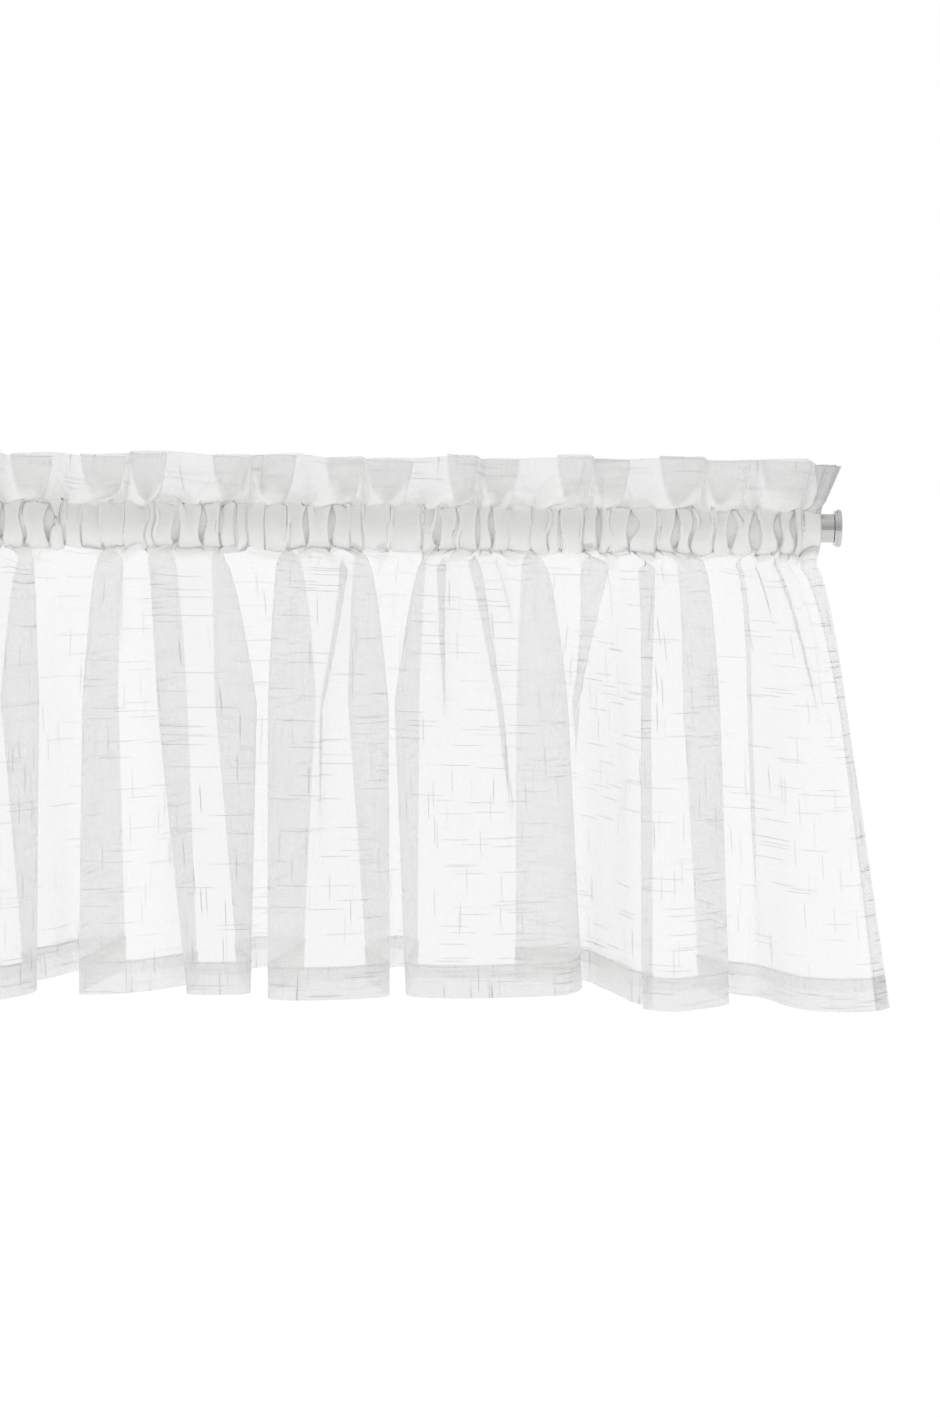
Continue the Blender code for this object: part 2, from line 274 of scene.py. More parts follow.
# folds: x and y at the neck, x half way down, x and y at the hem
folds = (
    (0, -512, -8, -537, -578, -50),
    (18, -500, -12, -529, -566, -63),
    (60, -480, -13, -500, -525, -72),
    (105, -456, -13, -466, -480, -68),
    (140, -436, -12, -440, -446, -58),
    (162, -424, -8, -426, -430, -42),
    (208, -433, 2, -440, -450, 0),
    (235, -434, 9, -441, -448, 26),
    (280, -404, 13, -406, -410, 50),
    (318, -374, 10, -373, -374, 42),
    (355, -372, 1, -371, -372, 6),
    (395, -374, -9, -380, -384, -32),
    (420, -362, -13, -367, -370, -53),
    (470, -324, -14, -322, -322, -64),
    (510, -292, -12, -287, -284, -56),
    (530, -282, -9, -275, -272, -41),
    (572, -290, 1, -287, -286, -2),
    (596, -292, 8, -289, -284, 22),
    (632, -266, 13, -262, -258, 46),
    (660, -240, 8, -238, -236, 34),
    (710, -222, -4, -220, -219, -14),
    (765, -200, -12, -200, -200, -61),
    (800, -172, -9, -167, -171, -30),
    (825, -188, -2, -203, -184, -9),
    (857, -160, 4, -170, -159, 20),
    (882, -135, 9, -146, -143, 41),
    (926, -97, 10, -104, -101, 55),
    (975, -107, 0, -116, -117, 8),
    (1024, -118, -10, -129, -133, -38),
    (1064, -92, -9, -93, -93, -36),
    (1100, -68, 0, -62, -60, -20),
    (1134, -50, 8, -40, -31, 0),
    (1168, -72, -13, -64, -38, -34),
    (1194, -39, -15, -21, -9, -37),
    (1221, -3, -12, 23, 18, -28),
    (1251, -11, -5, 4, 11, 2),
    (1281, -18, 3, -17, 3, 30),
    (1312, 18, 11, 24, 19, 58),
    (1350, 61, 12, 72, 60, 50),
    (1400, 50, 2, 53, 47, 2),
    (1450, 39, -10, 33, 34, -45),
    (1501, 80, -14, 84, 84, -51),
    (1564, 122, -10, 138, 141, -34),
    (1594, 113, -4, 121, 131, -7),
    (1623, 106, 2, 101, 120, 20),
    (1679, 148, 12, 140, 145, 70),
    (1703, 169, 8, 164, 164, 50),
    (1743, 166, 0, 154, 160, 10),
    (1784, 163, -9, 143, 155, -30),
    (1822, 182, -13, 178, 185, -41),
    (1889, 222, -13, 238, 251, -35),
    (1937, 258, -9, 280, 298, -23),
    (1965, 275, -4, 295, 312, 2),
    (2030, 253, 7, 250, 253, 30),
    (2090, 306, 5, 303, 313, 27),
    (2126, 326, -3, 328, 332, -4),
    (2190, 354, -10, 355, 363, -60),
    (2216, 370, -13, 376, 382, -77),
    (2244, 388, -13, 400, 409, -69),
    (2284, 414, -9, 427, 440, -45),
    (2343, 389, 4, 397, 417, 10),
    (2378, 410, 8, 424, 444, -13),
    (2405, 430, 5, 446, 469, -25),
    (2452, 460, -7, 480, 498, -61),
    (2486, 480, -12, 508, 530, -73),
    (2523, 498, -11, 530, 567, -68),
    (2541, 512, -8, 537, 580, -56),
)

# how far a fold has opened, by height in mm
opening = (
    (-415.5, 1.00), (-385, 0.97), (-290, 0.85), (-220, 0.72),
    (-157, 0.57), (-95, 0.36), (-60, 0.17), (-38, 0.0),
)

# small creases: cloth position at the neck, half way and at the hem, half width at the top
# and lower down, how far it is pulled over, and the heights in mm between which it runs
creases = (
    (845, 840, 840, 7, 5, 1.3, -22, -110),
    (1060, 1062, 1062, 10, 6, 1.3, -24, -130),
    (1340, 1345, 1345, 9, 6, 1.3, -22, -80),
    (1522, 1497, 1496, 12, 6, 2.0, -26, -330),
    (1824, 1832, 1828, 9, 6, 1.9, -22, -200),
    (1874, 1886, 1902, 14, 10, 1.8, -22, -310),
    (1904, 1912, 1914, 6, 5, 1.3, -22, -110),
    (2108, 2090, 2082, 20, 7, 2.3, -20, -250),
    (2202, 2199, 2196, 17, 13, 1.9, -24, -600),
    (2426, 2415, 2405, 15, 15, 1.25, -20, -420),
    (2452, 2460, 2460, 6, 5, 1.4, -22, -100),
    (2478, 2490, 2495, 6, 4, 1.6, -22, -190),
)

# painted shade, panel by panel: cloth position and share of cover; panels facing the front get more
# cover and look greyer, as if shaded, sloped ones less and look lighter
paintedPanelShade = (
    (0, 1.0), (700, 1.0), (765, 1.25), (825, 1.25), (850, 0.9), (960, 0.86), (1000, 1.05),
    (1055, 1.05), (1080, 0.86), (1150, 0.95), (1180, 1.4), (1215, 1.4), (1250, 1.15),
    (1290, 0.85), (1420, 0.85), (1460, 1.4), (1550, 1.35), (1600, 0.85), (1740, 0.85),
    (1790, 1.35), (1880, 1.3), (1930, 1.2), (1970, 1.0), (2150, 1.0), (2200, 1.15),
    (2290, 1.1), (2330, 0.85), (2395, 0.85), (2430, 1.15), (2500, 1.1), (2522, 0.8), (2541, 0.8),
)

# how dense the frills of the heading look: cloth position and share; two frills are made thinner and
# so lighter
frillDensity = (
    (0, 1.0), (2055, 1.0), (2070, 0.72), (2125, 0.72), (2140, 1.0), (2350, 1.0), (2365, 0.72),
    (2412, 0.72), (2425, 1.0), (2541, 1.0),
)

# frills of the heading: left, right and height at the top edge
frills = (
    (-520, -486, 57), (-474, -440, 60), (-428, -396, 56), (-388, -350, 59),
    (-334, -300, 61), (-290, -252, 56), (-240, -207, 58), (-191, -156, 57),
    (-130, -92, 57), (-87, -57, 60), (-15, 15, 58), (20, 55, 59), (84, 112, 57),
    (119, 156, 56), (189, 213, 60), (219, 248, 57), (285, 313, 61), (316, 344, 58),
    (374, 410, 61), (413, 449, 58), (460, 502, 59), (508, 527, 55),
)
frillDepths = (-9.5, -7.5, 4.0, 9.5)
frillInset = (1.0, 1.0, -2.0, -1.5)
frillSeam = (0.0, 0.84, 0.16, 1.0)


def frillRows():
    centres = [(left + right) / 2 for left, right, _ in frills]
    alongRod = [(x, s) for s, x in sewn]
    limits = [readStraight(alongRod, (a + b) / 2) for a, b in zip(centres, centres[1:])]
    limits = [sewn[0][0]] + limits + [sewn[-1][0]]
    rows = []
    for number, (left, right, height) in enumerate(frills):
        start, end = limits[number], limits[number + 1]
        spare = (end - start) * 0.07
        first = start if number == 0 else start + spare
        final = end if number == len(frills) - 1 else end - spare
        sides = (left, right, left, right)
        for turn in range(4):
            where = first + (final - first) * turn / 3
            ends = readStraight(sewn, where)
            turned = (left + right) / 2 + (frillSeam[turn] - 0.5) * min(30, 0.7 * (right - left))
            turned = np.clip(turned, readStraight(sewn, first), readStraight(sewn, final))
            seam = turned if turn in (1, 2) else ends
            rows.append((where, sides[turn] + frillInset[turn], frillDepths[turn], height, seam))
    return rows


headingRows = frillRows()

# gaps between pleats on the rod: place, width at the top and at the bottom, how far
# the bottom lies to the right of the top, all in mm
gaps = (
    (-199, 5, 4, -2), (-181, 3, 3, 6), (-158, 13, 3, -3), (-145, 3, 2.5, 1), (-130, 3, 1.5, -1),
    (-113, 1.5, 1, 0), (-93, 0.8, 0.8, -2), (-74, 2.5, 1, -7), (-67, 1.5, 1, -5), (-48, 5, 9, -2),
    (-25, 7, 5, -3), (-9, 4, 1, -2), (4, 3, 3.5, 2), (14, 1.5, 2, 2), (29, 0.8, 1.5, 1),
    (48, 1.2, 0.8, -1), (65, 6, 4.5, 2), (87, 8, 4, -2), (103, 0.8, 1, -1), (114, 1, 2.5, 2),
    (138, 0.5, 1, 0), (165, 1.5, 3, 3), (179, 4, 9, -3), (195, 2.5, 2.5, -6), (214, 4, 4, 0),
    (226, 7, 3, 3), (241, 2, 1, 2), (260, 0.5, 1, -2), (276, 3, 2, -6), (285, 3, 2, 2),
    (305, 0.8, 1.2, -2), (319, 7, 3, -1), (326, 0.8, 2, 6), (347, 15, 1.5, -7), (369, 1.2, 2, -3),
    (386, 4, 9, -3), (400, 5, 3, -7), (419, 1.5, 2, -2), (434, 12, 6, -2), (454, 8, 12, 1),
    (475, 6, 4, 5), (489, 9, 1.2, 4), (496, 0.8, 0.8, 1),
)
luck = np.random.default_rng(17)


def hiddenGaps():
    # on the left, beyond the photo's edge
    found, at = [(-497.0, 1.0, 1.0, 0.0)], -487.0
    while at < -212:
        widths = luck.choice([0.8, 1.5, 3.0, 5.0, 8.0], 2)
        found.append((at, *widths, luck.uniform(-5, 5)))
        at += luck.uniform(8, 22)
    return found


def pleatTurns(a, b, gapA, gapB, tuck):
    # the five places on the rod where one pleat's cloth turns
    widest = 0.40 * (b[0] - a[0])
    left = a[1] + min(gapA / 2, widest)
    right = b[1] - min(gapB / 2, widest)
    if right < left + 1:
        left, right = (left + right) / 2 - 0.5, (left + right) / 2 + 0.5
    return [a[1], left + tuck, left, right, right - tuck]


def pleatRows():
    # each pleat is a flat face with cloth tucked under both of its sides; a row gives the
    # cloth position, x with shut gaps, x at the top and at the bottom, and the depth
    places = hiddenGaps() + list(gaps)
    alongRod = [(x, at) for at, x in sewn]
    rows = [(0.0, -512.0, -512.0, -512.0, 0.5)]
    for (a, topA, lowA, leanA), (b, topB, lowB, leanB) in zip(places, places[1:]):
        start, end = readStraight(alongRod, a), readStraight(alongRod, b)
        pitch = b - a
        openA, openB = softStep(1, 5, (topA + lowA) / 2), softStep(1, 5, (topB + lowB) / 2)
        tuck = (0.05 + 0.24 * (openA + openB) / 2) * pitch
        shut = pleatTurns((a, a), (b, b), 0.6, 0.6, tuck)
        top = pleatTurns((a, a - leanA / 2), (b, b - leanB / 2), topA, topB, tuck)
        low = pleatTurns((a, a + leanA / 2), (b, b + leanB / 2), lowA, lowB, tuck)
        runs = [abs(q - p) for p, q in zip(shut, shut[1:] + [b])]
        runs = [run + 0.15 * pitch for run in runs]
        at = start
        depths = (0.68 - 0.62 * openA, 0.71 - 0.33 * openA, 0.8, 0.8, 0.71 - 0.33 * openB)
        for number, depth in enumerate(depths):
            rows.append((at, shut[number], top[number], low[number], depth))
            at += (end - start) * runs[number] / sum(runs)
    rows.append((2523.0, 496.0, 496.0, 496.0, 0.5))
    rows.append((2541.0, 512.0, 512.0, 512.0, 0.5))
    return rows


pleats = pleatRows()


def pleatShape(s):
    # place on the rod with shut gaps, and depth from 0 at the rod to 1 in front
    return readCurve(pleats, s, 1), readCurve(pleats, s, 4, True)


def wander(s, longest, seed, terms=9):
    # smooth random line along the cloth, about -1 to 1
    r = np.random.default_rng(seed)
    total = np.zeros_like(s)
    for _ in range(terms):
        total += np.sin(2 * np.pi * s / (longest * r.uniform(0.35, 1.0)) + r.uniform(0, 6.28))
    return total / math.sqrt(terms / 2) / 1.6


def squareOff(x, y, offset):
    # move a plan line sideways, square to itself
    dx, dy = np.gradient(x), np.gradient(y)
    length = np.maximum(np.hypot(dx, dy), 1e-9)
    return x - dy / length * offset, y + dx / length * offset


def creaseShift(s, h):
    # a crease pulls a narrow strip of cloth back under itself
    dx, dy = np.zeros_like(s), np.zeros_like(s)
    for neckAt, middleAt, hemAt, wide, narrow, pull, start, stop in creases:
        if stop < h < start:
            at = np.interp(-h, (38, 157, 385), (neckAt, middleAt, hemAt))
            half = np.interp(-h, (30, 130), (wide, narrow))
            force = softStep(start, start - 12, h) * softStep(stop, stop * 0.6, h)
            t = (s - at) / half
            dx -= pull * force * half * t * np.exp(-t * t)
            dy += pull * force * min(half, 8) * 0.45 * t * np.exp(-t * t / 2)
    return dx, dy


def bodyLine(s, height):
    v = clothValues
    x, y = readCurve(folds, s, 1), readCurve(folds, s, 2, True)
    h = height / mm
    neck, middle, bottom = v["neck"] / mm, v["middle"] / mm, v["hemBottom"] / mm
    below = max(v["lowerSeam"] / mm - h, 0)  # how far under the lower seam
    midX, hemX = readCurve(folds, s, 3), readCurve(folds, s, 4)
    x = x - v["neckDraw"] * (midX - x)
    if h <= neck:
        hemY = readCurve(folds, s, 5, True)
        if h > middle:
            x = x + (midX - x) * ((neck - h) / (neck - middle)) ** v["shoulderCurve"]
        else:
            x = midX + (hemX - midX) * (middle - h) / (middle - bottom)
        table = np.array(opening)
        y = y + (hemY - y) * np.interp(h, table[:, 0], table[:, 1])
    pulled, sunk = creaseShift(s, h)
    x, y = x + pulled, y + sunk
    shut, depth = pleatShape(s)
    pinch = math.exp(-((below / v["seamReach"]) ** 1.4))
    ripple = math.exp(-below / v["neckReach"])
    x = x * (1 - pinch) + shut * pinch
    y = y * (1 - pinch) + ((0.5 - depth) * v["seamTuck"] - v["seamForward"]) * pinch
    y = y - (depth - 0.45) * v["neckPucker"] * ripple * (1 - pinch)
    down = softStep(-60, -380, h)
    y = y + wander(s, 210, 5) * 2.0 * ripple * (1 - pinch) + wander(s, 330, 6) * 1.6 * down
    drop = -(depth - 0.7) * v["seamScallop"] - v["seamDrop"] - v["seamWander"] * wander(s, 62, 31)
    drop = drop * math.exp(-below / v["scallopReach"])
    return x * mm, y * mm, (h + drop) * mm


def headingLine(s, share, layer):
    v = clothValues
    x, y = readCurve(headingRows, s, 1), readCurve(headingRows, s, 2, True)
    top = readCurve(headingRows, s, 3) * mm
    shut, depth = pleatShape(s)
    pinch = math.exp(-((share / 0.06) ** 1.3))
    ripple = math.exp(-share / 0.35)
    taper = v["frillTaper"] - (v["frillTaper"] - 1) * softStep(2470, 2500, s)
    spread = 1 - (1 - share) ** taper
    seam = readCurve(headingRows, s, 4)
    px = (seam + (x - seam) * spread) * (1 - pinch) + shut * pinch
    py = y * (0.55 + 0.45 * spread) * (1 - pinch)
    py = py + ((0.5 - depth) * v["seamTuck"] - 1.3 * v["seamForward"]) * pinch
    py = py - (depth - 0.45) * v["headPucker"] * ripple * (1 - pinch)
    py = py + wander(s, 120, 8) * 1.2 * share
    top = top + wander(s, 160, 9) * 0.9 * mm
    px, py = squareOff(px * mm, py * mm, layer)
    rise = 0.8 * v["seamWander"] * wander(s, 70, 33) - (1 - depth) * v["seamDrop"]
    low = v["upperSeam"] + rise * mm * (1 - share)
    return px, py, low + (top - low) * share


def pocketLine(s, share, side):
    # side -1 is the front wall, 1 the back wall; share runs from the lower seam up
    v = clothValues
    at = s
    if side > 0:
        # the back wall's pleats lie a little beside those in front
        at = np.clip(s + 9 * softStep(20, 80, s) * softStep(2520, 2460, s), 0, v["width"])
    shut, depth = pleatShape(at)
    top, low = readCurve(pleats, at, 2), readCurve(pleats, at, 3)
    lowX, lowY, lowZ = bodyLine(s, v["lowerSeam"])
    highX, highY, highZ = headingLine(s, 0.0, 0.0)
    swell = math.sin(math.pi * share)
    puff = v["pocketPuff"] * (0.8 + 0.3 * wander(s, 90, 12))
    ease = v["pocketEase"] + depth * puff + 0.45 * wander(s, 26, 14)
    arch = side * (v["rodRadius"] + ease * mm)
    y = (lowY + (highY - lowY) * share) * (1 - swell) + arch * swell
    wide = low + (top - low) * softStep(0.15, 0.85, share)
    x = (shut + (wide - shut) * swell) * mm
    ends = softStep(0.0, 0.12, share) * (1 - softStep(0.88, 1.0, share))
    x = (lowX + (highX - lowX) * share) * (1 - ends) + x * ends
    z = lowZ + (highZ - lowZ) * share
    reach = np.hypot(y, z)
    out = np.maximum(reach, v["rodRadius"] + 0.0006) / reach
    return x, y * out, z * out


def clothColumns():
    # each side hem: raw edge tucked in, out to the hem's inner line, back to the edge, then
    # the face; with each column goes how far it lies behind the face
    v = clothValues
    gap = v["layerGap"]
    count = int(round((v["width"] - 2 * v["sideHem"]) / v["columnStep"]))
    inner = np.linspace(v["sideHem"], v["width"] - v["sideHem"], count)
    turn = np.array([1.2, 6, 12, 17.4])
    hem = [(turn, gap), (turn[::-1] + 0.4, 2 * gap), (np.array([0.0, 0.4, 3, 8, 13]), 0.0)]
    left = np.concatenate([part for part, _ in hem])
    behind = np.concatenate([np.full(len(part), off) for part, off in hem])
    columns = np.concatenate([left, inner, v["width"] - left[::-1]])
    return columns, np.concatenate([behind, np.zeros(count), behind[::-1]])


def clothGrid():
    v, flat = clothValues, flatPlaces
    gap = v["layerGap"]
    columns, away = clothColumns()
    order = np.argsort(columns, kind="stable")
    rows, lengths = [], []

    def addBody(height, offset, length):
        x, y, z = bodyLine(columns, height)
        # every layer is set off square to the face's own line, so it stays beside it
        dx, dy = np.gradient(x[order]), np.gradient(y[order])
        size = np.maximum(np.hypot(dx, dy), 1e-12)
        nx, ny = np.empty_like(x), np.empty_like(y)
        nx[order], ny[order] = -dy / size, dx / size
        total = offset + away
        rows.append(np.stack([x + nx * total, y + ny * total, z], 1))
        lengths.append(length)

    def addWall(line, length):
        rows.append(np.stack(line, 1))
        lengths.append(length)

    # the hem's raw edge is turned in a little way, then the cloth is turned up behind
    for height in clothRows["rawEdge"]:
        addBody(height, gap, flat["rawEdge"] - height)
    for height in clothRows["turnedUp"]:
        addBody(height, 2 * gap, flat["turnedUp"] - height)
    for height, layers in ((-0.4154, 1.6), (v["hemBottom"] - 0.0002, 1.0), (-0.4154, 0.4)):
        addBody(height, layers * gap, flat["hemFold"])
    for height in clothRows["hem"] + clothRows["face"] + clothRows["neck"]:
        addBody(height, 0.0, height - v["hemBottom"] + flat["face"])
    # up the pocket's front and the heading's, then down their backs
    for share in clothRows["pocket"]:
        addWall(pocketLine(columns, share, -1), flat["pocket"] + share * flat["pocketWall"])
    for share in clothRows["heading"]:
        addWall(headingLine(columns, share, -gap), flat["heading"] + share * flat["headingWall"])
    addWall(headingLine(columns, 1.0, 0.0), flat["headingTop"])
    for share in clothRows["heading"][::-1]:
        down = flat["headingBack"] + (1 - share) * flat["headingWall"]
        addWall(headingLine(columns, share, gap * 1.6), down)
    for share in clothRows["pocket"][:0:-1]:
        down = flat["pocketBack"] + (1 - share) * flat["pocketWall"]
        addWall(pocketLine(columns, share, 1), down)
    addBody(v["lowerSeam"], 1.2 * gap, flat["tail"])
    addBody(v["tailEnd"], 1.2 * gap, flat["tailEnd"])
    return np.array(rows), columns, np.array(lengths)


# How dense the cloth looks, with painted shade by panel and a whiter colour on the gathered pocket
# that is partly painted light. Each pair is where a change begins and ends on the flat cloth, in
# metres; low and high are the front gather's edges, which wander a little past the seams so the
# painted light also brightens the seams.
denseValues = {
    "low": 0.4235,
    "high": 0.479,
    "edgeWander": 0.007,
    "backFrom": (0.545, 0.556),
    "backTo": (0.590, 0.597),
    "backShare": 0.85,
    "hem": (0.0595, 0.0610),
    "hemExtra": 0.30,
    "body": (0.41, 0.43),
    "headingFrom": (0.468, 0.478),
    "headingTo": (0.545, 0.553),
    "mostSlant": 2.2,
}


def gatherShare(across, along):
    # 1 where the pocket is bunched up thick, less in its gaps, 0 on the rest; besides more cover it
    # gives a whiter colour, partly thicker cloth and partly painted light that lifts the shade in the
    # pocket and along its seams
    v = denseValues
    _, depth = pleatShape(across)
    bunched = 0.92 + 0.08 * np.clip(depth * 1.5, 0, 1)
    low = v["low"] - 0.005 * depth - v["edgeWander"] * wander(across, 60, 21)
    high = v["high"] + 0.004 * depth + v["edgeWander"] * wander(across, 60, 22)
    rise = softStep(low[None, :] - 0.003, low[None, :] + 0.004, along[:, None])
    fall = softStep(high[None, :] - 0.010, high[None, :] + 0.004, along[:, None])
    back = softStep(*v["backFrom"], along) * (1 - softStep(*v["backTo"], along))
    return np.maximum(rise * (1 - fall), v["backShare"] * back[:, None]) * bunched[None, :]


def turnAndShadeShare(grid, across, along):
    # how much cloth lies behind each bit of width: 1 flat on, more edge on; then times the painted
    # panel shade, the frills' share and the hem's extra cover
    v = denseValues
    plan = np.gradient(grid[:, :, :2], axis=1)
    slant = np.hypot(plan[:, :, 0], plan[:, :, 1]) / np.maximum(np.abs(plan[:, :, 0]), 1e-9)
    soft = np.clip(slant, 1, v["mostSlant"])
    for _ in range(2):
        soft[:, 1:-1] = (soft[:, :-2] + soft[:, 1:-1] + soft[:, 2:]) / 3
    inHem = 1.0 - softStep(*v["hem"], along)
    body = 1.0 - softStep(*v["body"], along)[:, None]
    upper = softStep(*v["headingFrom"], along) * (1.0 - softStep(*v["headingTo"], along))
    thick = 1.0 + (readStraight(paintedPanelShade, across)[None, :] - 1.0) * body
    thick = thick + (readStraight(frillDensity, across)[None, :] - 1.0) * upper[:, None]
    return soft * thick * (1.0 + v["hemExtra"] * inHem)[:, None]


def makeSheet(name, grid, across, along, material):
    rowCount, columnCount = grid.shape[:2]
    mesh = bpy.data.meshes.new(name)
    points = grid.reshape(-1, 3)
    index = np.arange(rowCount * columnCount).reshape(rowCount, columnCount)
    quads = np.stack(
        [index[:-1, :-1], index[:-1, 1:], index[1:, 1:], index[1:, :-1]], -1
    ).reshape(-1, 4)
    mesh.from_pydata(points.tolist(), [], quads.tolist())
    mesh.update()
    flat = mesh.uv_layers.new(name="flatCloth")
    u = np.broadcast_to(across[None, :] * mm, index.shape).reshape(-1)
    w = np.broadcast_to(along[:, None], index.shape).reshape(-1)
    corner = quads.reshape(-1)
    flat.data.foreach_set("uv", np.stack([u[corner], w[corner]], 1).reshape(-1))
    shares = {"gathered": gatherShare(across, along), "turned": turnAndShadeShare(grid, across, along)}
    for label, values in shares.items():
        layer = mesh.attributes.new(label, "FLOAT", "POINT")
        layer.data.foreach_set("value", values.reshape(-1).astype(np.float32))
    mesh.polygons.foreach_set("use_smooth", np.ones(len(quads), bool))
    mesh.materials.append(material)
    piece = bpy.data.objects.new(name, mesh)
    bpy.context.scene.collection.objects.link(piece)
    return piece


# the sheer slub cloth
sheerValues = {
    # slubs: length, thickness, share of the thread stretches that have one, seed
    "weftSlubs": (0.034, 0.0007, 0.046, 3),
    "warpSlubs": (0.030, 0.0007, 0.024, 71),
    "fineThreads": (0.014, 0.0012),
    "fineContrast": 0.03,
    "white": (0.92, 0.92, 0.917),
    "slubGrey": (0.56, 0.56, 0.55),
    # brighter white on the gathered pocket: thicker cloth, and painted light lifting the shade in its
    # crevices and seams
    "bunchedWhiteAndLift": (0.99, 0.99, 0.975),
    "cover": 0.33,
    "slubCover": 0.30,
    "gatherCover": 0.55,
    "through": 0.22,
}


def sheerCloth():
    v = sheerValues
    material = bpy.data.materials.new("sheerSlubCloth")
    material.use_nodes = True
    nodes, links = material.node_tree.nodes, material.node_tree.links
    nodes.clear()

    def calc(kind, a, b):
        node = nodes.new("ShaderNodeMath")
        node.operation = kind
        for socket, value in zip(node.inputs, (a, b)):
            if isinstance(value, (int, float)):
                socket.default_value = value
            else:
                links.new(value, socket)
        return node.outputs[0]

    place = nodes.new("ShaderNodeUVMap")
    place.uv_map = "flatCloth"

    def fineThreads(lengthAcross, lengthAlong, seed):
        # thin threads: noise squeezed across the thread and drawn out along it
        shift = nodes.new("ShaderNodeMapping")
        shift.inputs["Scale"].default_value = (1 / lengthAcross, 1 / lengthAlong, 1)
        shift.inputs["Location"].default_value = (seed * 3.7, seed * 1.9, seed)
        links.new(place.outputs[0], shift.inputs["Vector"])
        noise = nodes.new("ShaderNodeTexNoise")
        noise.inputs["Scale"].default_value = 1.0
        noise.inputs["Detail"].default_value = 1.0
        links.new(shift.outputs[0], noise.inputs["Vector"])
        span = nodes.new("ShaderNodeMapRange")
        span.inputs["From Min"].default_value = 0.30
        span.inputs["From Max"].default_value = 0.70
        links.new(noise.outputs["Fac"], span.inputs["Value"])
        return span.outputs[0]

    flat = nodes.new("ShaderNodeSeparateXYZ")
    links.new(place.outputs[0], flat.inputs[0])

    def slubs(run, across, length, thick, often, seed):
        # some stretches of some threads are spun thicker, with tapering ends
        lane = calc("DIVIDE", across, thick)
        row = calc("FLOOR", lane, 0)
        chance = nodes.new("ShaderNodeTexWhiteNoise")
        chance.noise_dimensions = "1D"
        links.new(calc("ADD", row, seed + 0.5), chance.inputs["W"])
        step = calc("ADD", calc("DIVIDE", run, length), calc("MULTIPLY", chance.outputs["Value"], 9.0))
        both = nodes.new("ShaderNodeCombineXYZ")
        links.new(calc("FLOOR", step, 0), both.inputs[0])
        links.new(calc("ADD", row, seed + 0.5), both.inputs[1])
        pick = nodes.new("ShaderNodeTexWhiteNoise")
        pick.noise_dimensions = "2D"
        links.new(both.outputs[0], pick.inputs["Vector"])
        found = calc("SUBTRACT", pick.outputs["Value"], 1.0 - often)
        found = calc("MINIMUM", calc("MULTIPLY", calc("MAXIMUM", found, 0.0), 2.0 / often), 1.0)
        ends = calc("PINGPONG", step, 0.5)
        ends = calc("MINIMUM", calc("MULTIPLY", ends, 4.0), 1.0)
        sides = calc("MINIMUM", calc("MULTIPLY", calc("PINGPONG", lane, 0.5), 4.0), 1.0)
        return calc("MULTIPLY", calc("MULTIPLY", found, ends), sides)

    across, up = flat.outputs[0], flat.outputs[1]
    weftSlub = slubs(across, up, *v["weftSlubs"])
    warpSlub = slubs(up, across, *v["warpSlubs"])
    long, thin = v["fineThreads"]
    fineWeft = fineThreads(long, thin, 4)
    fineWarp = fineThreads(thin, long, 5)
    slub = calc("MAXIMUM", weftSlub, warpSlub)
    fine = calc("SUBTRACT", calc("ADD", fineWeft, fineWarp), 1.0)
    fine = calc("MULTIPLY", fine, v["fineContrast"])
    bunched = nodes.new("ShaderNodeAttribute")
    bunched.attribute_name = "gathered"
    bunch = bunched.outputs["Fac"]
    slub = calc("MULTIPLY", slub, calc("SUBTRACT", 1.0, calc("MULTIPLY", bunch, 0.9)))
    # the turned attribute also carries the painted panel shade: panels facing the front get more cover
    # and look greyer
    turned = nodes.new("ShaderNodeAttribute")
    turned.attribute_name = "turned"
    loose = calc("SUBTRACT", 1.0, bunch)
    turns = calc("ADD", calc("MULTIPLY", calc("SUBTRACT", turned.outputs["Fac"], 1.0), loose), 1.0)
    cover = calc("ADD", calc("MULTIPLY", slub, v["slubCover"]), v["cover"])
    cover = calc("ADD", cover, fine)
    clear = calc("POWER", calc("SUBTRACT", 1.0, cover), turns)  # slanted cloth lets less through
    cover = calc("SUBTRACT", 1.0, clear)
    cover = calc("ADD", cover, calc("MULTIPLY", bunch, v["gatherCover"]))
    cover = calc("MINIMUM", cover, 0.97)

    bump = nodes.new("ShaderNodeBump")
    bump.inputs["Strength"].default_value = 0.25
    bump.inputs["Distance"].default_value = 0.0003
    links.new(calc("ADD", slub, calc("MULTIPLY", fine, 3.0)), bump.inputs["Height"])

    yarn = nodes.new("ShaderNodeMix")
    yarn.data_type = "RGBA"
    yarn.inputs["A"].default_value = (*v["white"], 1)
    yarn.inputs["B"].default_value = (*v["slubGrey"], 1)
    links.new(slub, yarn.inputs["Factor"])
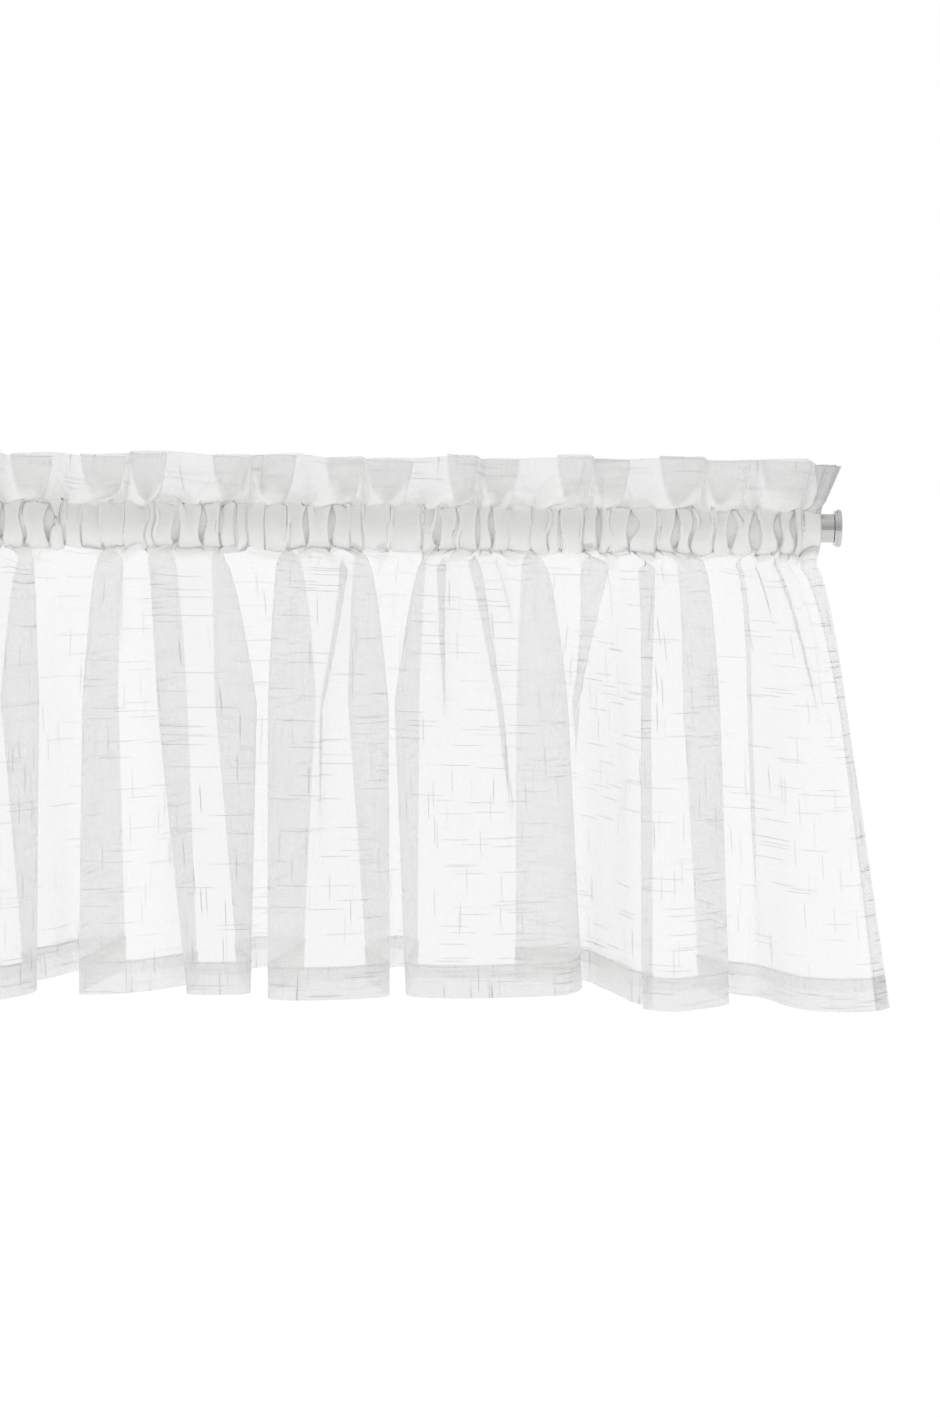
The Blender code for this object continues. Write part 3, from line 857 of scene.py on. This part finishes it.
    # painted light: the gathered pocket and its seams get a brighter white that lifts their shade
    yarnAndLift = nodes.new("ShaderNodeMix")
    yarnAndLift.data_type = "RGBA"
    yarnAndLift.inputs["B"].default_value = (*v["bunchedWhiteAndLift"], 1)
    links.new(bunch, yarnAndLift.inputs["Factor"])
    links.new(yarn.outputs["Result"], yarnAndLift.inputs["A"])
    front = nodes.new("ShaderNodeBsdfDiffuse")
    links.new(yarnAndLift.outputs["Result"], front.inputs["Color"])
    links.new(bump.outputs[0], front.inputs["Normal"])
    through = nodes.new("ShaderNodeBsdfTranslucent")
    links.new(yarnAndLift.outputs["Result"], through.inputs["Color"])
    links.new(bump.outputs[0], through.inputs["Normal"])
    thread = nodes.new("ShaderNodeMixShader")
    share = calc("SUBTRACT", v["through"], calc("MULTIPLY", bunch, 0.15))
    links.new(share, thread.inputs[0])
    links.new(front.outputs[0], thread.inputs[1])
    links.new(through.outputs[0], thread.inputs[2])
    hole = nodes.new("ShaderNodeBsdfTransparent")
    mix = nodes.new("ShaderNodeMixShader")
    links.new(cover, mix.inputs[0])
    links.new(hole.outputs[0], mix.inputs[1])
    links.new(thread.outputs[0], mix.inputs[2])
    out = nodes.new("ShaderNodeOutputMaterial")
    links.new(mix.outputs[0], out.inputs[0])
    return material


# sewing: small stitches along the hem, the side hems and both seams of the pocket
stitchValues = {
    "white": (0.95, 0.95, 0.94),
    "shade": (0.84, 0.84, 0.83),
    "pitch": 0.0034,
    "length": 0.0026,
    "radius": 0.00022,
    "stand": 0.0004,
    "hemRow": -0.3872,
    "sideRows": (16.0, 2525.0),
}


def stitchPaths():
    v = clothValues
    s = np.linspace(1, v["width"] - 1, 5079)
    paths = []

    def addLine(x, y, z, offset):
        px, py = squareOff(x, y, offset)
        paths.append(np.stack([px, py, z + 0 * px], 1))

    for height in (stitchValues["hemRow"], v["lowerSeam"] - 0.0006):
        x, y, z = bodyLine(s, height)
        addLine(x, y, z, -stitchValues["stand"])
        addLine(x, y, z, 3 * v["layerGap"] + stitchValues["stand"])
    x, y, z = headingLine(s, 0.03, 0.0)
    addLine(x, y, z, -v["layerGap"] - stitchValues["stand"])
    addLine(x, y, z, 1.6 * v["layerGap"] + stitchValues["stand"])
    for place in stitchValues["sideRows"]:
        near = place + np.linspace(-1, 1, 3)
        lines = []
        for height in np.linspace(-0.384, -0.026, 180):
            x, y, z = bodyLine(near, height)
            x, y = squareOff(x, y, -stitchValues["stand"])
            lines.append((x[1], y[1], z[1]))
        paths.append(np.array(lines))
    return paths


def sewingThread():
    material = bpy.data.materials.new("sewingThread")
    material.use_nodes = True
    nodes, links = material.node_tree.nodes, material.node_tree.links
    shader = nodes["Principled BSDF"]
    shader.inputs["Roughness"].default_value = 0.75
    where = nodes.new("ShaderNodeTexCoord")
    noise = nodes.new("ShaderNodeTexNoise")
    noise.inputs["Scale"].default_value = 900
    shade = nodes.new("ShaderNodeMix")
    shade.data_type = "RGBA"
    shade.inputs["A"].default_value = (*stitchValues["white"], 1)
    shade.inputs["B"].default_value = (*stitchValues["shade"], 1)
    links.new(where.outputs["Object"], noise.inputs["Vector"])
    links.new(noise.outputs["Fac"], shade.inputs["Factor"])
    links.new(shade.outputs["Result"], shader.inputs["Base Color"])
    return material


def makeStitches():
    v = stitchValues
    points, faces = [], []
    for path in stitchPaths():
        run = np.concatenate([[0], np.cumsum(np.linalg.norm(np.diff(path, axis=0), axis=1))])
        starts = np.arange(v["pitch"], run[-1] - v["pitch"], v["pitch"])
        ends = [np.interp(starts + k * v["length"] / 2, run, path[:, axis])
                for k in (0, 1, 2) for axis in range(3)]
        ends = np.array(ends).reshape(3, 3, -1).transpose(2, 0, 1)
        for stitch in ends:
            way = stitch[2] - stitch[0]
            way /= max(np.linalg.norm(way), 1e-9)
            side = np.cross(way, (0.0, 0.6, 0.8))
            side /= max(np.linalg.norm(side), 1e-9)
            lift = np.cross(way, side)
            first = len(points)
            for step, size in ((0, 0.35), (1, 1.0), (2, 0.35)):
                for turn in (0.5, 2.6, 4.7):
                    offset = side * math.cos(turn) + lift * math.sin(turn)
                    points.append(stitch[step] + offset * v["radius"] * size)
            for step in (0, 3):
                for turn in range(3):
                    a, b = first + step + turn, first + step + (turn + 1) % 3
                    faces.append((a, b, b + 3, a + 3))
            faces.append((first + 2, first + 1, first))
            faces.append((first + 6, first + 7, first + 8))
    mesh = bpy.data.meshes.new("stitching")
    mesh.from_pydata([tuple(q) for q in points], [], faces)
    mesh.update()
    mesh.polygons.foreach_set("use_smooth", np.ones(len(faces), bool))
    mesh.materials.append(sewingThread())
    piece = bpy.data.objects.new("stitching", mesh)
    bpy.context.scene.collection.objects.link(piece)
    return piece


clothMaterial = sheerCloth()
grid, across, along = clothGrid()
cloth = makeSheet("sheer_valance", grid, across, along, clothMaterial)
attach(cloth, "root")
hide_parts("valance")
print("cloth made:", len(cloth.data.polygons), "faces")
stitching = makeStitches()
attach(stitching, "root")
print("stitches made:", len(stitching.data.polygons), "faces")

# the rod and its caps
rodValues = {
    "metal": (0.60, 0.60, 0.59),
    "roughness": 0.22,
    "rodScratches": (12, 1400, 1400),
    "capScratches": (900, 300, 300),
}


def satinMetal(name, scratches):
    material = bpy.data.materials.new(name)
    material.use_nodes = True
    nodes, links = material.node_tree.nodes, material.node_tree.links
    shader = nodes["Principled BSDF"]
    shader.inputs["Metallic"].default_value = 1.0
    shader.inputs["Base Color"].default_value = (*rodValues["metal"], 1)
    where = nodes.new("ShaderNodeTexCoord")
    shift = nodes.new("ShaderNodeMapping")
    shift.inputs["Scale"].default_value = scratches
    noise = nodes.new("ShaderNodeTexNoise")
    noise.inputs["Scale"].default_value = 1.0
    noise.inputs["Detail"].default_value = 3.0
    span = nodes.new("ShaderNodeMapRange")
    span.inputs["To Min"].default_value = rodValues["roughness"] - 0.07
    span.inputs["To Max"].default_value = rodValues["roughness"] + 0.10
    bump = nodes.new("ShaderNodeBump")
    bump.inputs["Strength"].default_value = 0.12
    bump.inputs["Distance"].default_value = 0.0002
    links.new(where.outputs["Object"], shift.inputs["Vector"])
    links.new(shift.outputs[0], noise.inputs["Vector"])
    links.new(noise.outputs["Fac"], span.inputs["Value"])
    links.new(span.outputs[0], shader.inputs["Roughness"])
    links.new(noise.outputs["Fac"], bump.inputs["Height"])
    links.new(bump.outputs[0], shader.inputs["Normal"])
    return material


rodMetal = satinMetal("satinRod", rodValues["rodScratches"])
capMetal = satinMetal("satinCap", rodValues["capScratches"])
for name, metal in (("rod", rodMetal), ("rod_cap_left", capMetal), ("rod_cap_right", capMetal)):
    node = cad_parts[name]
    for place in range(len(node.material_slots)):
        node.material_slots[place].material = metal
print("rod finished")

# bring the scene's placements up to date
bpy.context.view_layer.update()
